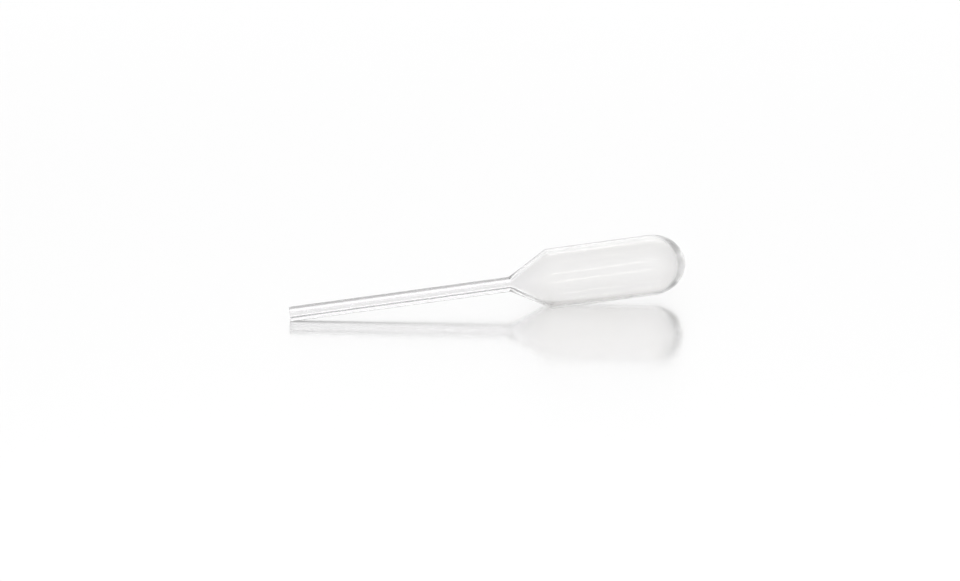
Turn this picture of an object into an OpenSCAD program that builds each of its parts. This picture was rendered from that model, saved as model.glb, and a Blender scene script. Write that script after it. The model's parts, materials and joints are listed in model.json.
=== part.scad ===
// A one-piece dropper pipette, blow moulded from low-density polyethylene.
//
// A thick stem with a fine bore opens through a cone into a thin-walled squeeze bulb with a round end.
// It lies as it comes to rest on a table, on the lip of the mouth and on a small flat spot of the bulb's
// soft shoulder, so its axis climbs a little from the mouth to the bulb and the round end is clear.
//
// +X runs above the table from the mouth towards the bulb, +Z is up, and the origin is on the table under
// the middle of the pipette. Millimetres and degrees.

/* [Stem] */
// Length of the stem, from the mouth to where the cone starts
stem_length = 36; // [20:0.1:80]
// Outside diameter of the stem
stem_diameter = 2.3; // [1.6:0.1:4]
// Diameter of the bore along the stem
bore_diameter = 1; // [0.4:0.1:1.8]

/* [Cone] */
// Length of the cone between the stem and the bulb's straight side
cone_length = 6.4; // [3:0.1:15]
// Radius of the hollow blend between the stem and the cone
neck_radius = 1; // [0.2:0.1:3]
// Radius of the rounded corner between the cone and the bulb's straight side
shoulder_radius = 0.5; // [0.3:0.1:2]

/* [Bulb] */
// Length of the bulb's straight side
side_length = 17.15; // [8:0.05:40]
// Outside diameter of the bulb
bulb_diameter = 9.7; // [7:0.1:16]
// Length of the bulb's round end, past the straight side
end_length = 5.45; // [3:0.05:9]
// Depth of the flat spot on which the soft shoulder rests
rest_depth = 0.07; // [0.03:0.01:0.15]

/* [Wall] */
// Thickness of the wall along the bulb's straight side
side_wall = 0.28; // [0.15:0.01:0.6]
// Thickness of the wall at the tip of the round end, where the blown tube was pinched shut
end_wall = 0.85; // [0.3:0.05:2]

/* [Parting line] */
// Height of the fine ridge that the halves of the mould leave
ridge_height = 0.04; // [0.02:0.01:0.1]
// Width of that ridge
ridge_width = 0.15; // [0.08:0.01:0.4]
// Angle from the upright plane along the axis to the plane of the ridge
ridge_turn = 24; // [0:1:180]

/* [Hidden] */

$fn = 64;
// Straight steps in each rounded corner, and in the curve of the round end
CORNER_STEPS = 8;
END_STEPS = 28;
// How far the hollow's cutter stands out of the mouth
OVERCUT = 1;
// Smallest radius that a corner inside the wall may have
SHARPEST = 0.05;

stem_radius = stem_diameter / 2;
bore_radius = bore_diameter / 2;
bulb_radius = bulb_diameter / 2;
shoulder_at = stem_length + cone_length;
side_end_at = shoulder_at + side_length;
cone_angle = atan2(bulb_radius - stem_radius, cone_length);

// Half of the pipette's outline, as points [along the axis from the mouth, out from the axis]. The same
// outline serves the skin, the hollow inside it and the ridge on it: how far its two radii lie inside the
// skin's moves its corners and their rounding with them, so a wall keeps its thickness round a corner.
function outline(start, stem_r, bulb_r, end) =
    let (
        stem_depth = stem_radius - stem_r,
        bulb_depth = bulb_radius - bulb_r,
        neck = [stem_length + stem_depth * tan(cone_angle / 2), stem_r],
        shoulder = [shoulder_at + bulb_depth * tan(cone_angle / 2), bulb_r],
        mouth = [start, stem_r],
        side_end = [side_end_at, bulb_r]
    )
    concat(
        [[start, 0], mouth],
        rounded(mouth, neck, shoulder, neck_radius + stem_depth),
        rounded(neck, shoulder, side_end, max(shoulder_radius - bulb_depth, SHARPEST)),
        [for (i = [0:END_STEPS]) let (a = 90 * i / END_STEPS) [side_end_at + end * sin(a), bulb_r * cos(a)]]
    );

// The corner at b between the straight runs from a and to c, rounded to radius r
function rounded(a, b, c, r) =
    let (
        back = unit(a - b),
        on = unit(c - b),
        half = acos(back * on) / 2,
        centre = b + unit(back + on) * r / sin(half),
        first = b + back * r / tan(half) - centre,
        sweep = (180 - 2 * half) * sign(cross(b - a, c - b))
    )
    [for (i = [0:CORNER_STEPS]) centre + turned(first, sweep * i / CORNER_STEPS)];

function unit(v) = v / norm(v);
function turned(v, a) = [v[0] * cos(a) - v[1] * sin(a), v[0] * sin(a) + v[1] * cos(a)];

SKIN = outline(0, stem_radius, bulb_radius, end_length);
HOLLOW = outline(-OVERCUT, bore_radius, bulb_radius - side_wall, end_length - end_wall);
RIDGE = outline(0, stem_radius + ridge_height, bulb_radius + ridge_height, end_length + ridge_height);

// The table's surface touches the lip of the mouth and takes the flat spot off the rounding of the
// shoulder, which sets the tilt.
rounding_at = shoulder_at + shoulder_radius * tan(cone_angle / 2);
rounding_drop = bulb_radius - shoulder_radius - stem_radius;
tilt = atan2(rounding_drop, rounding_at)
    + asin((shoulder_radius - rest_depth) / norm([rounding_at, rounding_drop]));
lift = stem_radius * cos(tilt);

// How far along the table an outline's points reach, above and below the axis. A plane turned by an angle
// from the upright one reaches only that angle's cosine as far up or down.
function reach(points, turn) = [
    for (p = points, up = [cos(turn), -cos(turn)]) p[0] * cos(tilt) - up * p[1] * sin(tilt)
];

REACH = concat(reach(SKIN, 0), reach(RIDGE, ridge_turn));
middle = (min(REACH) + max(REACH)) / 2;

// The outline's points, with the axis upright, for turning round it
function upright(points) = [for (p = points) [p[1], p[0]]];

module turned_solid(points) {
    rotate_extrude() polygon(upright(points));
}

// The ridge runs up one side of the pipette, over its round end and down the other side.
module parting_ridge() {
    rotate([0, 0, -ridge_turn])
        rotate([90, 0, 0])
            linear_extrude(ridge_width, center = true) {
                polygon(upright(RIDGE));
                mirror([1, 0]) polygon(upright(RIDGE));
            }
}

// Everything below the table's surface
module below_table() {
    translate([0, 0, -bulb_diameter / 2])
        cube([2 * (side_end_at + end_length), 2 * bulb_diameter, bulb_diameter], center = true);
}

module pipette() {
    color([0.93, 0.94, 0.93, 0.7])
        difference() {
            translate([-middle, 0, lift])
                rotate([0, 90 - tilt, 0])
                    difference() {
                        union() {
                            turned_solid(SKIN);
                            parting_ridge();
                        }
                        turned_solid(HOLLOW);
                    }
            below_table();
        }
}

pipette();
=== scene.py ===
"""Dresses the dropper pipette: a thin-walled squeeze dropper, blow moulded in one piece from
translucent natural polyethylene, lying on a polished white table."""

import json
import math

import bmesh
import bpy
from bpy.props import FloatProperty, FloatVectorProperty, IntProperty, PointerProperty
from mathutils import Matrix, Vector


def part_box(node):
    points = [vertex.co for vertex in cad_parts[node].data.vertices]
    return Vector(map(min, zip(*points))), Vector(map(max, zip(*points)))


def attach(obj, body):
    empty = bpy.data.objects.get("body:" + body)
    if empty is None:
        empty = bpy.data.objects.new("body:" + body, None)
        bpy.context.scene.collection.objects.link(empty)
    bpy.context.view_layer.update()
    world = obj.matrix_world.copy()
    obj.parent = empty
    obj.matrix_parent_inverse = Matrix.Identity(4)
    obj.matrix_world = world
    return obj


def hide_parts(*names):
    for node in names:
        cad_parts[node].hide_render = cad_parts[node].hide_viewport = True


bl_info = {
    "name": "Dropper pipette",
    "version": (1, 0, 0),
    "blender": (4, 5, 0),
    "location": "3D View > Sidebar > Pipette",
    "description": "Builds a one-piece dropper pipette and the table and light that it is shown in",
    "category": "Add Mesh",
}

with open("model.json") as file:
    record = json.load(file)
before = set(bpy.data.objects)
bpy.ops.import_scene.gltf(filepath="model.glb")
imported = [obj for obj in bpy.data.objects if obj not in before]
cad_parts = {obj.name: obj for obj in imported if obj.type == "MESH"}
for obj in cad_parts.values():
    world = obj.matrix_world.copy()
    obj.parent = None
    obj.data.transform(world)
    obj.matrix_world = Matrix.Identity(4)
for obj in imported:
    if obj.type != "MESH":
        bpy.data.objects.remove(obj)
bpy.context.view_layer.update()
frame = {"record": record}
MOUNTS = {mount["name"]: mount for mount in frame["record"]["mounts"]}
LOWEST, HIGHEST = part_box("pipette")
MILLIMETRE = 0.001

# The mounts at the mouth give the axis, which runs from the mouth into the bulb.
MOUTH = Vector(MOUNTS["stem"]["pos_m"])
AXIS = -Vector(MOUNTS["stem"]["axis"]).normalized()


# ---------------------------------------------------------------- sizes and colours

class PipetteSizes(bpy.types.PropertyGroup):
    """Sizes of the pipette, in metres"""

    stem_diameter: FloatProperty(
        name="Stem diameter",
        description="Outside diameter of the stem",
        default=2 * MOUNTS["stem"]["dims"]["r_mm"] * MILLIMETRE,
        unit="LENGTH",
    )
    bore_diameter: FloatProperty(
        name="Bore diameter",
        description="Diameter of the bore along the stem",
        default=2 * MOUNTS["mouth_bore"]["dims"]["r_mm"] * MILLIMETRE,
        unit="LENGTH",
    )
    bulb_diameter: FloatProperty(
        name="Bulb diameter",
        description="Outside diameter of the squeeze bulb",
        default=HIGHEST.y - LOWEST.y,
        unit="LENGTH",
    )
    stem_length: FloatProperty(
        name="Stem length",
        description="From the mouth to where the cone starts",
        default=0.036,
        unit="LENGTH",
    )
    cone_length: FloatProperty(
        name="Cone length",
        description="From the stem to the bulb's straight side",
        default=0.0064,
        unit="LENGTH",
    )
    side_length: FloatProperty(
        name="Side length",
        description="Length of the bulb's straight side",
        default=0.01715,
        unit="LENGTH",
    )
    end_length: FloatProperty(
        name="Round end length",
        description="Length of the bulb's round end, past its straight side",
        default=0.00545,
        unit="LENGTH",
    )
    neck_radius: FloatProperty(
        name="Neck radius",
        description="Radius of the hollow blend between the stem and the cone",
        default=0.001,
        unit="LENGTH",
    )
    shoulder_radius: FloatProperty(
        name="Shoulder radius",
        description="Radius of the rounded corner between the cone and the straight side",
        default=0.0005,
        unit="LENGTH",
    )
    lip_radius: FloatProperty(
        name="Lip radius",
        description="Radius of the cut edges of the mouth",
        default=0.00005,
        unit="LENGTH",
    )
    side_wall: FloatProperty(
        name="Side wall",
        description="Thickness of the wall along the bulb's straight side",
        default=0.00028,
        unit="LENGTH",
    )
    end_wall: FloatProperty(
        name="End wall",
        description="Thickness of the wall at the tip of the round end",
        default=0.00085,
        unit="LENGTH",
    )
    ridge_height: FloatProperty(
        name="Parting ridge height",
        description="Height of the fine ridge along the mould's parting line",
        default=0.00004,
        unit="LENGTH",
    )
    ridge_turn: FloatProperty(
        name="Parting ridge turn",
        description="Angle from the upright plane along the axis to the plane of the ridge",
        default=math.radians(24),
        subtype="ANGLE",
    )
    turn_steps: IntProperty(
        name="Turn steps",
        description="Steps in one turn round the axis, an even number",
        default=240,
        min=24,
    )


class PipetteFinish(bpy.types.PropertyGroup):
    """Colours and clearness of the polyethylene, with painted shade on the stem and the round end"""

    tint: FloatVectorProperty(
        name="Tint",
        description="Colour of light that has come through the wall",
        default=(0.992, 0.988, 0.990),
        size=3,
        min=0,
        max=1,
        subtype="COLOR",
    )
    milky_tint: FloatVectorProperty(
        name="Milky tint",
        description="Colour of light that has come through the wall where it is milkier",
        default=(0.987, 0.983, 0.974),
        size=3,
        min=0,
        max=1,
        subtype="COLOR",
    )
    # Painted shade: this tint darkens the stem, standing in for the grey shade that the stem shows.
    stem_painted_shade_tint: FloatVectorProperty(
        name="Stem tint",
        description="Colour of light that has come through the stem's thick wall",
        default=(0.961, 0.958, 0.961),
        size=3,
        min=0,
        max=1,
        subtype="COLOR",
    )
    # Painted shade: this tint darkens the round end towards its tip, standing in for the dark rim that the
    # round end shows.
    end_painted_shade_tint: FloatVectorProperty(
        name="Round end tint",
        description="Colour of light that has come through the thick tip of the round end",
        default=(0.952, 0.949, 0.947),
        size=3,
        min=0,
        max=1,
        subtype="COLOR",
    )
    thick_tint: FloatVectorProperty(
        name="Thick tint",
        description="Colour of light that has come through the tint distance of solid plastic",
        default=(0.9, 0.9, 0.9),
        size=3,
        min=0,
        max=1,
        subtype="COLOR",
    )
    tint_distance: FloatProperty(
        name="Tint distance",
        description="Thickness of solid plastic that gives the thick tint",
        default=0.0046,
        unit="LENGTH",
    )
    roughness: FloatProperty(
        name="Roughness",
        description="How much the surface blurs what is seen in it and through it",
        default=0.13,
        min=0,
        max=1,
        subtype="FACTOR",
    )
    clearness: FloatProperty(
        name="Clearness",
        description="Share of the light that passes straight through and isn't scattered in the wall",
        default=1.0,
        min=0,
        max=1,
        subtype="FACTOR",
    )


class PipetteStage(bpy.types.PropertyGroup):
    """The table, the light and the camera"""

    camera_turn: FloatProperty(
        name="Camera turn",
        description="Angle of the camera round the pipette, from straight in front",
        default=math.radians(-8.08),
        subtype="ANGLE",
    )
    camera_height: FloatProperty(
        name="Camera height",
        description="Angle of the camera above the table",
        default=math.radians(24),
        subtype="ANGLE",
    )
    camera_aim: FloatVectorProperty(
        name="Camera aim",
        description="Point that the camera looks at",
        default=(-0.001464, -0.000425, 0.003593),
        size=3,
        unit="LENGTH",
    )
    camera_distance: FloatProperty(
        name="Camera distance",
        description="From the camera to the point that it looks at",
        default=0.4326,
        unit="LENGTH",
    )
    table_colour: FloatVectorProperty(
        name="Table colour",
        description="Colour of the table top",
        default=(0.985, 0.985, 0.985),
        size=3,
        min=0,
        max=1,
        subtype="COLOR",
    )
    table_polish: FloatProperty(
        name="Table polish",
        description="Share of the light that the table top mirrors",
        default=0.8,
        min=0,
        max=1,
        subtype="FACTOR",
    )
    table_roughness: FloatProperty(
        name="Table roughness",
        description="How much the table top blurs what it mirrors",
        default=0.17,
        min=0,
        max=1,
        subtype="FACTOR",
    )
    soft_light: FloatProperty(
        name="Soft light",
        description="Brightness of the soft light from all round",
        default=0.5,
        min=0,
    )
    backdrop_turn: FloatProperty(
        name="Backdrop turn",
        description="Angle of the backdrop's middle round the pipette, to the right of straight behind",
        default=math.radians(12),
        subtype="ANGLE",
    )
    ceiling_shade: FloatProperty(
        name="Ceiling shade",
        description="Brightness of the ceiling, as glass and polish show it",
        default=0.45,
        min=0,
        max=1,
        subtype="FACTOR",
    )
    low_wall_shade: FloatProperty(
        name="Low wall shade",
        description="Brightness of the room's walls low down, as glass and polish show them",
        default=0.8,
        min=0,
        max=1,
        subtype="FACTOR",
    )
    high_wall_shade: FloatProperty(
        name="High wall shade",
        description="Brightness of the room's walls high up, as glass and polish show them",
        default=0.5,
        min=0,
        max=1,
        subtype="FACTOR",
    )


# ---------------------------------------------------------------- mesh

# Spacing of the rings along straight runs, and steps in each rounded corner, in each edge of the lip and in
# the curve of the round end
RING_SPACING = 0.0006
CORNER_STEPS = 10
LIP_STEPS = 4
END_STEPS = 36
# Smallest radius of a corner inside the wall, and the distance within which points are one
SHARPEST = 0.00005
SAME = 1e-7
# Least cosine of the angle between an outside point's normal and the way out from the axis
OUTWARD = 0.2


def add_chain(mesh, corners):
    """Adds edges through the corners, each (along the axis, out from it), and returns their points."""
    points = [mesh.verts.new((along, 0, out)) for along, out in corners]
    for first, second in zip(points, points[1:]):
        mesh.edges.new((first, second))
    return points


def round_corner(mesh, corner, radius, steps):
    """Rounds one corner of the chain."""
    back, on = (edge.other_vert(corner).co - corner.co for edge in corner.link_edges)
    tangent = radius / math.tan(back.angle(on) / 2)
    bmesh.ops.bevel(
        mesh,
        geom=[corner],
        offset=tangent,
        offset_type="OFFSET",
        segments=steps,
        profile=0.5,
        affect="VERTICES",
        material=-1,
    )


def divide_runs(mesh, spacing):
    """Divides each edge that is longer than the spacing."""
    for edge in list(mesh.edges):
        cuts = math.ceil(edge.calc_length() / spacing) - 1
        if cuts > 0:
            bmesh.ops.subdivide_edges(mesh, edges=[edge], cuts=cuts)


def add_round_end(mesh, start, length):
    """Carries the chain on from start, over a quarter of an ellipse to a pole on the axis."""
    middle = Vector((start.co.x, 0, 0))
    before = set(mesh.verts)
    bmesh.ops.spin(
        mesh,
        geom=[start],
        cent=middle,
        axis=(0, 1, 0),
        dvec=(0, 0, 0),
        angle=math.pi / 2,
        steps=END_STEPS,
        use_duplicate=False,
    )
    arc = [point for point in mesh.verts if point not in before]
    bmesh.ops.scale(
        mesh,
        vec=(length / start.co.z, 1, 1),
        space=Matrix.Translation(-middle),
        verts=arc,
    )


def loose_ends(mesh):
    """The two ends of the chain, the one nearer to the axis first."""
    ends = [point for point in mesh.verts if len(point.link_edges) == 1]
    return sorted(ends, key=lambda point: point.co.z)


def draw_wall(mesh, sizes):
    """Draws half of the wall's section: inside from the round end to the mouth, and back outside."""
    stem = sizes.stem_diameter / 2
    bore = sizes.bore_diameter / 2
    bulb = sizes.bulb_diameter / 2
    shoulder_at = sizes.stem_length + sizes.cone_length
    side_end_at = shoulder_at + sizes.side_length
    # The inside's corners lie on the lines that halve the outside's corners.
    lean = math.tan(math.atan2(bulb - stem, sizes.cone_length) / 2)
    stem_wall = stem - bore

    _, inner_shoulder, inner_neck, inner_lip, lip, neck, shoulder, _ = add_chain(mesh, [
        (side_end_at, bulb - sizes.side_wall),
        (shoulder_at + sizes.side_wall * lean, bulb - sizes.side_wall),
        (sizes.stem_length + stem_wall * lean, bore),
        (0, bore),
        (0, stem),
        (sizes.stem_length, stem),
        (shoulder_at, bulb),
        (side_end_at, bulb),
    ])
    round_corner(mesh, inner_shoulder, max(sizes.shoulder_radius - sizes.side_wall, SHARPEST), CORNER_STEPS)
    round_corner(mesh, inner_neck, sizes.neck_radius + stem_wall, CORNER_STEPS)
    round_corner(mesh, inner_lip, sizes.lip_radius, LIP_STEPS)
    round_corner(mesh, lip, sizes.lip_radius, LIP_STEPS)
    round_corner(mesh, neck, sizes.neck_radius, CORNER_STEPS)
    round_corner(mesh, shoulder, sizes.shoulder_radius, CORNER_STEPS)
    divide_runs(mesh, RING_SPACING)
    inner_side, _ = loose_ends(mesh)
    add_round_end(mesh, inner_side, sizes.end_length - sizes.end_wall)
    _, side = loose_ends(mesh)
    add_round_end(mesh, side, sizes.end_length)


def turn_wall(mesh, steps):
    """Turns the section round the axis into the closed wall."""
    bmesh.ops.spin(
        mesh,
        geom=mesh.verts[:] + mesh.edges[:],
        cent=(0, 0, 0),
        axis=(1, 0, 0),
        dvec=(0, 0, 0),
        angle=2 * math.pi,
        steps=steps,
        use_merge=True,
        use_duplicate=False,
    )
    bmesh.ops.remove_doubles(mesh, verts=mesh.verts, dist=SAME)
    bmesh.ops.recalc_face_normals(mesh, faces=mesh.faces)


def raise_parting_ridge(mesh, height, start):
    """Raises the outside's points in the plane of the section into the mould's parting ridge, which starts
    that far from the mouth."""
    mesh.normal_update()
    in_plane = [point for point in mesh.verts if abs(point.co.y) < SAME and point.co.x > start]
    on_line = [point for point in in_plane if faces_out(point)]
    moves = [(point, point.normal * height) for point in on_line]
    for point, move in moves:
        point.co += move


def faces_out(point):
    """True for a point of the outside: its normal leads away from the axis, or on past the round end."""
    away = Vector((0, point.co.y, point.co.z))
    if away.length < SAME:
        return point.normal.x > 0
    return point.normal.dot(away.normalized()) > OUTWARD


def press_flat_spot(mesh):
    """Flattens the shoulder where it rests on the table."""
    cut = bmesh.ops.bisect_plane(
        mesh,
        geom=mesh.verts[:] + mesh.edges[:] + mesh.faces[:],
        plane_co=(0, 0, LOWEST.z),
        plane_no=(0, 0, 1),
        clear_inner=True,
        dist=SAME,
    )
    rim = [item for item in cut["geom_cut"] if isinstance(item, bmesh.types.BMEdge) and item.is_boundary]
    bmesh.ops.edgeloop_fill(mesh, edges=rim)


def build_pipette(sizes):
    """Models the pipette along its axis and lays it where the frame has it."""
    mesh = bmesh.new()
    draw_wall(mesh, sizes)
    turn_wall(mesh, sizes.turn_steps)
    raise_parting_ridge(mesh, sizes.ridge_height, 2 * sizes.lip_radius)
    laid = Matrix.Translation(MOUTH) @ AXIS.to_track_quat("X", "Z").to_matrix().to_4x4()
    mesh.transform(laid @ Matrix.Rotation(-sizes.ridge_turn, 4, "X"))
    press_flat_spot(mesh)
    for face in mesh.faces:
        face.smooth = True
    data = bpy.data.meshes.new("dropper_body")
    mesh.to_mesh(data)
    mesh.free()
    piece = bpy.data.objects.new("dropper_body", data)
    bpy.context.collection.objects.link(piece)
    return piece


# ---------------------------------------------------------------- shader nodes

def ramp(tree, value, start, end, first, last):
    """A smooth change from first to last as the value goes from start to end."""
    node = tree.nodes.new("ShaderNodeMapRange")
    node.interpolation_type = "SMOOTHSTEP"
    node.inputs["From Min"].default_value = start
    node.inputs["From Max"].default_value = end
    node.inputs["To Min"].default_value = first
    node.inputs["To Max"].default_value = last
    tree.links.new(value, node.inputs["Value"])
    return node.outputs["Result"]


def blend(tree, share, first, second):
    """The first number where share is 0, and the second where it is 1."""
    node = tree.nodes.new("ShaderNodeMix")
    node.data_type = "FLOAT"
    feed(tree, share, node.inputs["Factor"])
    feed(tree, first, node.inputs["A"])
    feed(tree, second, node.inputs["B"])
    return node.outputs["Result"]


def combine(tree, operation, first, second=0):
    """One number from two."""
    node = tree.nodes.new("ShaderNodeMath")
    node.operation = operation
    feed(tree, first, node.inputs[0])
    feed(tree, second, node.inputs[1])
    return node.outputs[0]


def feed(tree, value, socket):
    """Gives a socket a number, or links it to another socket."""
    if isinstance(value, bpy.types.NodeSocket):
        tree.links.new(value, socket)
    else:
        socket.default_value = value


def square(tree, value):
    """A number times itself."""
    return combine(tree, "MULTIPLY", value, value)


def mix_colours(tree, share, first, second):
    """The first colour where share is 0, and the second where it is 1."""
    mix = tree.nodes.new("ShaderNodeMix")
    mix.data_type = "RGBA"
    tree.links.new(share, mix.inputs["Factor"])
    for name, colour in (("A", first), ("B", second)):
        socket = next(item for item in mix.inputs if item.name == name and item.type == "RGBA")
        if isinstance(colour, bpy.types.NodeSocket):
            tree.links.new(colour, socket)
        else:
            socket.default_value = (*colour, 1)
    return next(item for item in mix.outputs if item.type == "RGBA")


def add_noise(tree, place, scale, detail):
    """Soft noise from 0 to 1, of so many features to the metre and so many octaves of finer detail."""
    noise = tree.nodes.new("ShaderNodeTexNoise")
    noise.inputs["Scale"].default_value = scale
    noise.inputs["Detail"].default_value = detail
    tree.links.new(place, noise.inputs["Vector"])
    return noise.outputs["Fac"]


# ---------------------------------------------------------------- finish

# Refractive index of polyethylene
REFRACTION = 1.51
# Waves on the surface: their width round the bulb, how much longer they are along it, their height and the
# octaves of finer waves on them
WAVE_WIDTH = 0.004
WAVE_STRETCH = 6
WAVE_HEIGHT = 0.00002
WAVE_DETAIL = 1
# Milky clouds in the wall: their width, and the octaves of finer clouds in them
CLOUD_WIDTH = 0.006
CLOUD_DETAIL = 3


def polyethylene(finish, sizes):
    """Natural polyethylene: clear enough to see through and softly glossy. Where it is thick it takes light
    away, and its colour carries painted shade along the stem and at the round end."""
    material = bpy.data.materials.new("natural_polyethylene")
    material.use_nodes = True
    tree = material.node_tree
    shader = tree.nodes["Principled BSDF"]
    shader.inputs["Roughness"].default_value = finish.roughness
    shader.inputs["IOR"].default_value = REFRACTION
    shader.inputs["Transmission Weight"].default_value = finish.clearness
    absorption = tree.nodes.new("ShaderNodeVolumeAbsorption")
    absorption.inputs["Color"].default_value = (*finish.thick_tint, 1)
    absorption.inputs["Density"].default_value = 1 / finish.tint_distance
    tree.links.new(absorption.outputs["Volume"], tree.nodes["Material Output"].inputs["Volume"])

    place = tree.nodes.new("ShaderNodeTexCoord").outputs["Object"]
    along = tree.nodes.new("ShaderNodeMapping")
    along.vector_type = "TEXTURE"
    along.inputs["Location"].default_value = MOUTH
    along.inputs["Rotation"].default_value = AXIS.to_track_quat("X", "Z").to_euler()
    tree.links.new(place, along.inputs["Vector"])
    from_mouth = along.outputs["Vector"]
    tree.links.new(moulding_waves(tree, from_mouth), shader.inputs["Normal"])
    # The base colour carries painted shade on the stem and the round end.
    tree.links.new(wall_tint_with_painted_shade(tree, place, from_mouth, finish, sizes), shader.inputs["Base Color"])
    return material


def moulding_waves(tree, from_mouth):
    """The normal of a surface with the faint long waves that blow moulding leaves. X of the place from the
    mouth runs along the axis."""
    stretched = tree.nodes.new("ShaderNodeMapping")
    stretched.inputs["Scale"].default_value = (1 / WAVE_STRETCH, 1, 1)
    tree.links.new(from_mouth, stretched.inputs["Vector"])
    waves = add_noise(tree, stretched.outputs["Vector"], 1 / WAVE_WIDTH, WAVE_DETAIL)
    surface = tree.nodes.new("ShaderNodeBump")
    surface.inputs["Distance"].default_value = WAVE_HEIGHT
    tree.links.new(waves, surface.inputs["Height"])
    return surface.outputs["Normal"]


def wall_tint_with_painted_shade(tree, place, from_mouth, finish, sizes):
    """The wall's colour: milkier in clouds, and darkened by painted shade along the stem and towards the
    tip of the round end.
    """
    distance = tree.nodes.new("ShaderNodeSeparateXYZ")
    tree.links.new(from_mouth, distance.inputs["Vector"])
    shoulder_at = sizes.stem_length + sizes.cone_length
    side_end_at = shoulder_at + sizes.side_length
    tip_at = side_end_at + sizes.end_length
    cloud = add_noise(tree, place, 1 / CLOUD_WIDTH, CLOUD_DETAIL)
    # Painted shade: the stem's darker tint gives way to the bulb's colour past the stem.
    past_painted_stem_shade = ramp(tree, distance.outputs["X"], sizes.stem_length, shoulder_at, 0, 1)
    # Painted shade: the round end's darker tint grows towards the tip, drawing its dark rim.
    painted_end_shade_share = ramp(tree, distance.outputs["X"], side_end_at, tip_at, 0, 1)
    colour = mix_colours(tree, cloud, finish.tint, finish.milky_tint)
    colour = mix_colours(tree, past_painted_stem_shade, finish.stem_painted_shade_tint, colour)
    return mix_colours(tree, painted_end_shade_share, colour, finish.end_painted_shade_tint)


def table_top(stage):
    """A white table top, polished like a mirror."""
    material = bpy.data.materials.new("polished_white_table")
    material.use_nodes = True
    shader = material.node_tree.nodes["Principled BSDF"]
    shader.inputs["Base Color"].default_value = (*stage.table_colour, 1)
    shader.inputs["Metallic"].default_value = stage.table_polish
    shader.inputs["Roughness"].default_value = stage.table_roughness
    return material


# ---------------------------------------------------------------- stage

# Width of the table top
TABLE_SIZE = 6.0
# Gap that keeps the pipette's flat spot and the table top from lying in one plane
TABLE_GAP = 0.00001


def lay_table(stage):
    """A wide table top under the pipette."""
    mesh = bmesh.new()
    bmesh.ops.create_grid(mesh, x_segments=1, y_segments=1, size=TABLE_SIZE / 2)
    data = bpy.data.meshes.new("table")
    mesh.to_mesh(data)
    mesh.free()
    data.materials.append(table_top(stage))
    table = bpy.data.objects.new("table", data)
    table.location.z = -TABLE_GAP
    bpy.context.collection.objects.link(table)


# Brightness of the backdrop against the sine of the angle above the table: white, brightest low down and in
# a second band higher up, and darker over that
BACKDROP = (
    (0, 1.3),
    (0.2, 1.2),
    (0.28, 1.1),
    (0.42, 1.1),
    (0.52, 1.15),
    (0.6, 1.2),
    (0.7, 1.2),
    (0.79, 1.1),
    (0.86, 0.8),
    (0.93, 0.5),
    (1, 0.45),
)
# Cosines of the angles to either side of the backdrop's middle, between which it fades into the room
BACKDROP_EDGES = 0.35, 1.0
# Sines of the angles above the table between which the room's walls darken upwards, and between which they
# give way to the ceiling
WALL_EDGES = 0, 0.7
CEILING_EDGES = 0.85, 0.97


def light_surroundings(stage):
    """Plain soft light from all round. Camera, mirror and see-through rays see the studio itself instead:
    a white backdrop behind, which darkens upwards, and a dimmer room and ceiling round it."""
    world = bpy.data.worlds.new("white_studio")
    world.use_nodes = True
    bpy.context.scene.world = world
    tree = world.node_tree
    direction = tree.nodes.new("ShaderNodeSeparateXYZ")
    tree.links.new(tree.nodes.new("ShaderNodeTexCoord").outputs["Generated"], direction.inputs["Vector"])
    x, y, z = direction.outputs
    walls = ramp(tree, z, *WALL_EDGES, stage.low_wall_shade, stage.high_wall_shade)
    overhead = ramp(tree, z, *CEILING_EDGES, 0, 1)
    room = blend(tree, overhead, walls, stage.ceiling_shade)
    behind = backdrop_share(tree, x, y, z, stage.backdrop_turn)
    studio = blend(tree, behind, room, backdrop_brightness(tree, z))
    path = tree.nodes.new("ShaderNodeLightPath")
    sees_studio = combine(tree, "MAXIMUM", path.outputs["Is Camera Ray"], path.outputs["Is Glossy Ray"])
    sees_studio = combine(tree, "MAXIMUM", sees_studio, path.outputs["Is Transmission Ray"])
    background = tree.nodes["Background"]
    background.inputs["Color"].default_value = (1, 1, 1, 1)
    tree.links.new(blend(tree, sees_studio, stage.soft_light, studio), background.inputs["Strength"])


def backdrop_share(tree, x, y, z, turn):
    """1 in the direction of the backdrop's middle, fading to 0 on either side, whatever the height."""
    across = combine(tree, "MULTIPLY", x, math.sin(turn))
    away = combine(tree, "MULTIPLY", y, math.cos(turn))
    level_part = combine(tree, "SQRT", combine(tree, "SUBTRACT", 1, square(tree, z)))
    facing = combine(tree, "DIVIDE", combine(tree, "ADD", across, away), level_part)
    return ramp(tree, facing, *BACKDROP_EDGES, 0, 1)


def backdrop_brightness(tree, z):
    """Brightness of the backdrop by height."""
    backdrop = tree.nodes.new("ShaderNodeFloatCurve")
    backdrop.mapping.use_clip = False
    curve = backdrop.mapping.curves[0]
    for place in BACKDROP[2:]:
        curve.points.new(*place)
    for point, place in zip(curve.points, BACKDROP):
        point.location = place
    backdrop.mapping.update()
    tree.links.new(z, backdrop.inputs["Value"])
    return backdrop.outputs["Value"]


# Thin lamps in front and behind, which draw a streak along the middle of the bulb and one under its upper
# edge. Each has its place, width and height, in metres, and its brightness.
STRIP_LAMPS = {
    "front_strip": ((0.1, -0.715, 0.65), 0.6, 0.03, 6.0),
    "back_strip": ((0.12, 0.684, 0.72), 0.8, 0.04, 4.0),
}


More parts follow.
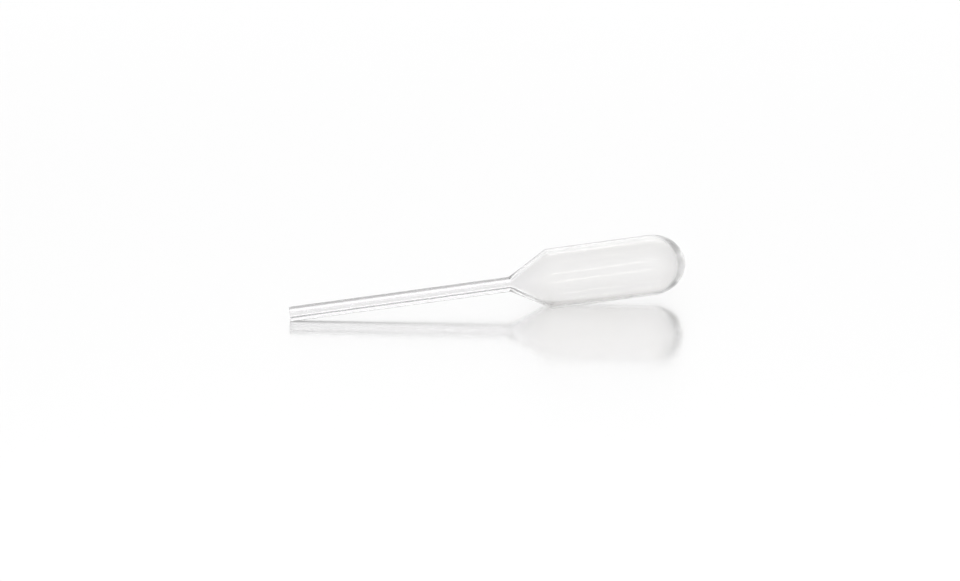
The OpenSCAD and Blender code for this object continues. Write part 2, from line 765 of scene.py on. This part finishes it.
def add_soft_light(name, place, width, height, brightness):
    """A flat soft light at a place, facing the pipette, with the brightness that a mirror would show."""
    data = bpy.data.lights.new(name, "AREA")
    data.shape = "RECTANGLE"
    data.size = width
    data.size_y = height
    data.energy = brightness * math.pi * width * height
    light = bpy.data.objects.new(name, data)
    light.location = place
    light.rotation_euler = (-Vector(place)).to_track_quat("-Z", "Y").to_euler()
    bpy.context.collection.objects.link(light)


# Focal length of the camera and width of its sensor, in millimetres
CAMERA_LENS = 100
CAMERA_SENSOR = 36


def place_camera(stage):
    """The camera looks down on the pipette from in front and a little to the left."""
    turn, height = stage.camera_turn, stage.camera_height
    back = Vector((
        math.sin(turn) * math.cos(height),
        -math.cos(turn) * math.cos(height),
        math.sin(height),
    ))
    facing = (-back).to_track_quat("-Z", "Y")
    data = bpy.data.cameras.new("camera")
    data.lens = CAMERA_LENS
    data.sensor_width = CAMERA_SENSOR
    camera = bpy.data.objects.new("camera", data)
    camera.location = Vector(stage.camera_aim) + back * stage.camera_distance
    camera.rotation_euler = facing.to_euler()
    bpy.context.collection.objects.link(camera)
    bpy.context.scene.camera = camera


# How often light may bounce, so that it gets through all the walls of the pipette and of its mirror image
LIGHT_BOUNCES = 32


def let_light_through():
    """Lets light bounce often enough for a hollow clear thing on a mirror."""
    cycles = bpy.context.scene.cycles
    cycles.max_bounces = LIGHT_BOUNCES
    cycles.glossy_bounces = LIGHT_BOUNCES
    cycles.transmission_bounces = LIGHT_BOUNCES


# ---------------------------------------------------------------- operators and panel

class PIPETTE_OT_add_pipette(bpy.types.Operator):
    """Builds the pipette in place of its plain solid"""

    bl_idname = "pipette.add_pipette"
    bl_label = "Add pipette"

    def execute(self, context):
        piece = build_pipette(context.scene.pipette_sizes)
        piece.data.materials.append(polyethylene(context.scene.pipette_finish, context.scene.pipette_sizes))
        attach(piece, "root")
        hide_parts("pipette")
        return {"FINISHED"}


class PIPETTE_OT_set_stage(bpy.types.Operator):
    """Lays the table, sets the lights and places the camera"""

    bl_idname = "pipette.set_stage"
    bl_label = "Set stage"

    def execute(self, context):
        stage = context.scene.pipette_stage
        lay_table(stage)
        light_surroundings(stage)
        for name, lamp in STRIP_LAMPS.items():
            add_soft_light(name, *lamp)
        place_camera(stage)
        let_light_through()
        context.scene.view_settings.view_transform = "Standard"
        return {"FINISHED"}


class PIPETTE_PT_sidebar(bpy.types.Panel):
    """Sizes, finish and stage of the pipette"""

    bl_label = "Dropper pipette"
    bl_space_type = "VIEW_3D"
    bl_region_type = "UI"
    bl_category = "Pipette"

    def draw(self, context):
        scene = context.scene
        groups = (
            (scene.pipette_sizes, PIPETTE_OT_add_pipette),
            (scene.pipette_finish, None),
            (scene.pipette_stage, PIPETTE_OT_set_stage),
        )
        for group, operator in groups:
            box = self.layout.box()
            for name in group.__annotations__:
                box.prop(group, name)
            if operator:
                box.operator(operator.bl_idname)


CLASSES = (
    PipetteSizes,
    PipetteFinish,
    PipetteStage,
    PIPETTE_OT_add_pipette,
    PIPETTE_OT_set_stage,
    PIPETTE_PT_sidebar,
)


def register():
    for item in CLASSES:
        bpy.utils.register_class(item)
    bpy.types.Scene.pipette_sizes = PointerProperty(type=PipetteSizes)
    bpy.types.Scene.pipette_finish = PointerProperty(type=PipetteFinish)
    bpy.types.Scene.pipette_stage = PointerProperty(type=PipetteStage)


def unregister():
    del bpy.types.Scene.pipette_stage
    del bpy.types.Scene.pipette_finish
    del bpy.types.Scene.pipette_sizes
    for item in reversed(CLASSES):
        bpy.utils.unregister_class(item)


def main():
    register()
    bpy.ops.pipette.add_pipette()
    bpy.ops.pipette.set_stage()


if __name__ == "__main__":
    main()
